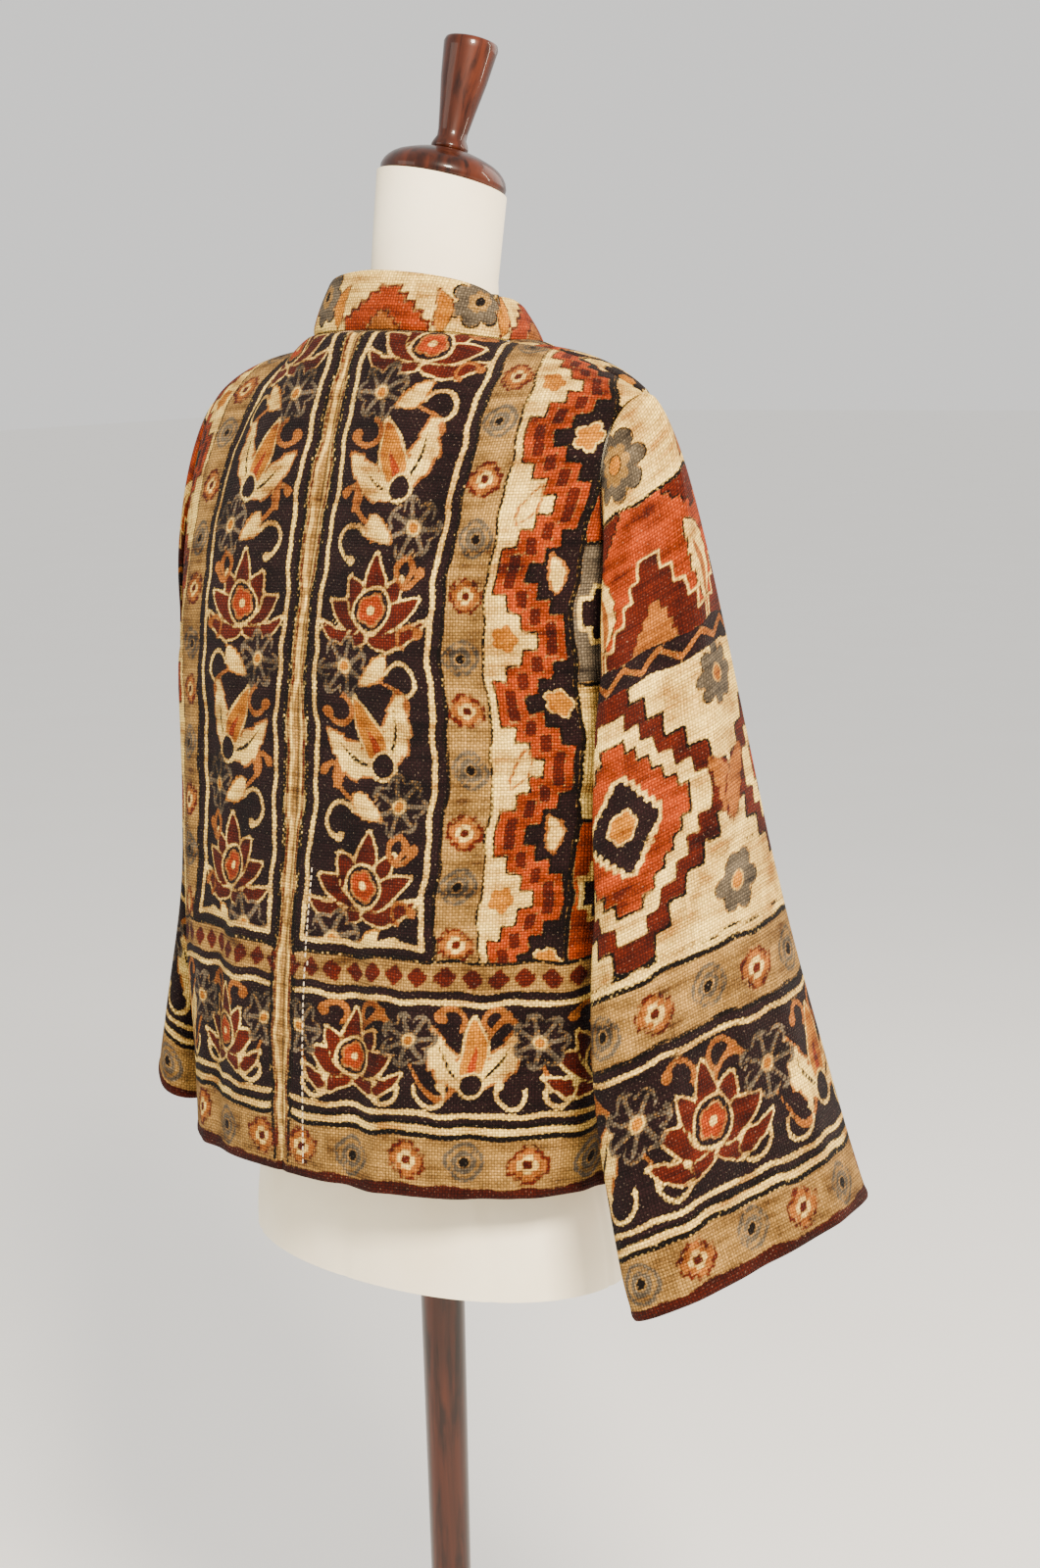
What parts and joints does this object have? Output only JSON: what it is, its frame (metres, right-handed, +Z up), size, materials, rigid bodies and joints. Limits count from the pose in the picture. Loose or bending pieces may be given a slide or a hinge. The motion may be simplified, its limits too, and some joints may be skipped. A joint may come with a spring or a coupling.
{
  "type": "cotton jacket on dress form",
  "caption": "Boxy open-front printed cotton jacket with bell sleeves and a standing collar, worn on a limbless dress form with a turned wooden cap, finial, post and round base.",
  "frame": {"origin": "middle of the underside of the round base, on the floor", "axes": "+Z up; the figure faces -Y, so the back of the jacket is towards +Y and the figure's left side is +X"},
  "size_m": [0.656, 0.364, 1.6538],
  "materials": {
    "printed_cotton": "matte plain weave",
    "form_cover": "matte stretched jersey",
    "turned_hardwood": "satin varnish",
    "stand_wood": "satin varnish"
  },
  "bodies": {
    "root": {"back_left": "printed_cotton", "back_right": "printed_cotton", "front_left": "printed_cotton", "front_right": "printed_cotton", "sleeve_left": "printed_cotton", "sleeve_right": "printed_cotton", "collar": "printed_cotton", "form_torso": "form_cover", "neck_cap": "turned_hardwood", "finial": "turned_hardwood", "post": "stand_wood", "base": "stand_wood"}
  },
  "joints": []
}
